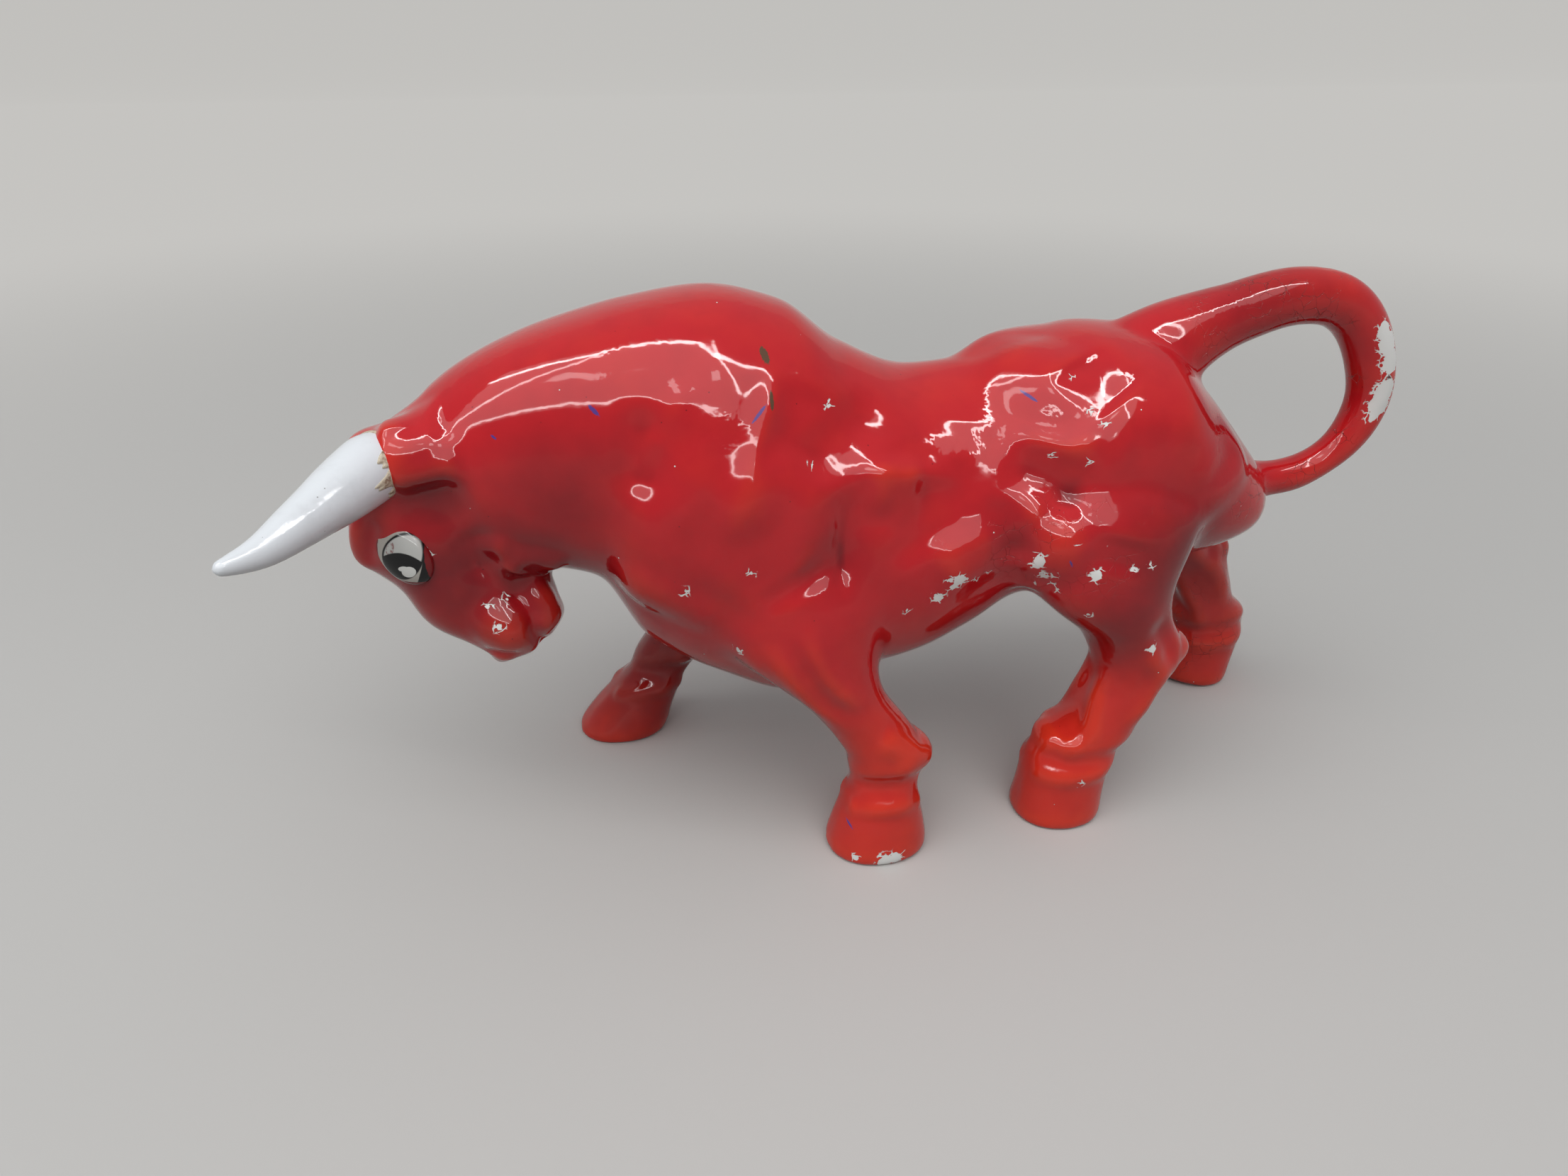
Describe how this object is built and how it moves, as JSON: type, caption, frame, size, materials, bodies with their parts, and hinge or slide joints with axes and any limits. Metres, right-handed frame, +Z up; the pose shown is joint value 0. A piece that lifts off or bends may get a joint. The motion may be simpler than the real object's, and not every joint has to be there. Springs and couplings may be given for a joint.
{
  "type": "ceramic bull figurine",
  "caption": "Standing glazed ceramic bull in a charging stance, head lowered, horns forward, tail curled into a closed loop over the rump.",
  "frame": {"origin": "on the surface that the hooves stand on, under the middle of the bounding box", "axes": "+Z up, +X from head to tail, so the bull faces -X; its left side is at -Y and its right side at +Y"},
  "size_m": [0.3756, 0.116, 0.1775],
  "materials": {
    "red_glaze": "high gloss red glaze over white ceramic, crazed and chipped",
    "white_glaze": "gloss white glaze",
    "cement": "matt cream cement",
    "eye_glaze": "gloss white with a painted black and grey pupil"
  },
  "bodies": {
    "root": {"torso": "red_glaze", "head": "red_glaze", "leg_front_left": "red_glaze", "leg_front_right": "red_glaze", "leg_rear_left": "red_glaze", "leg_rear_right": "red_glaze", "tail_loop": "red_glaze", "belly_sheath": "red_glaze", "ear_left": "red_glaze", "ear_right": "red_glaze", "horn_left": "white_glaze", "horn_right": "white_glaze", "horn_cement_left": "cement", "horn_cement_right": "cement", "eye_left": "eye_glaze", "eye_right": "eye_glaze"}
  },
  "joints": []
}
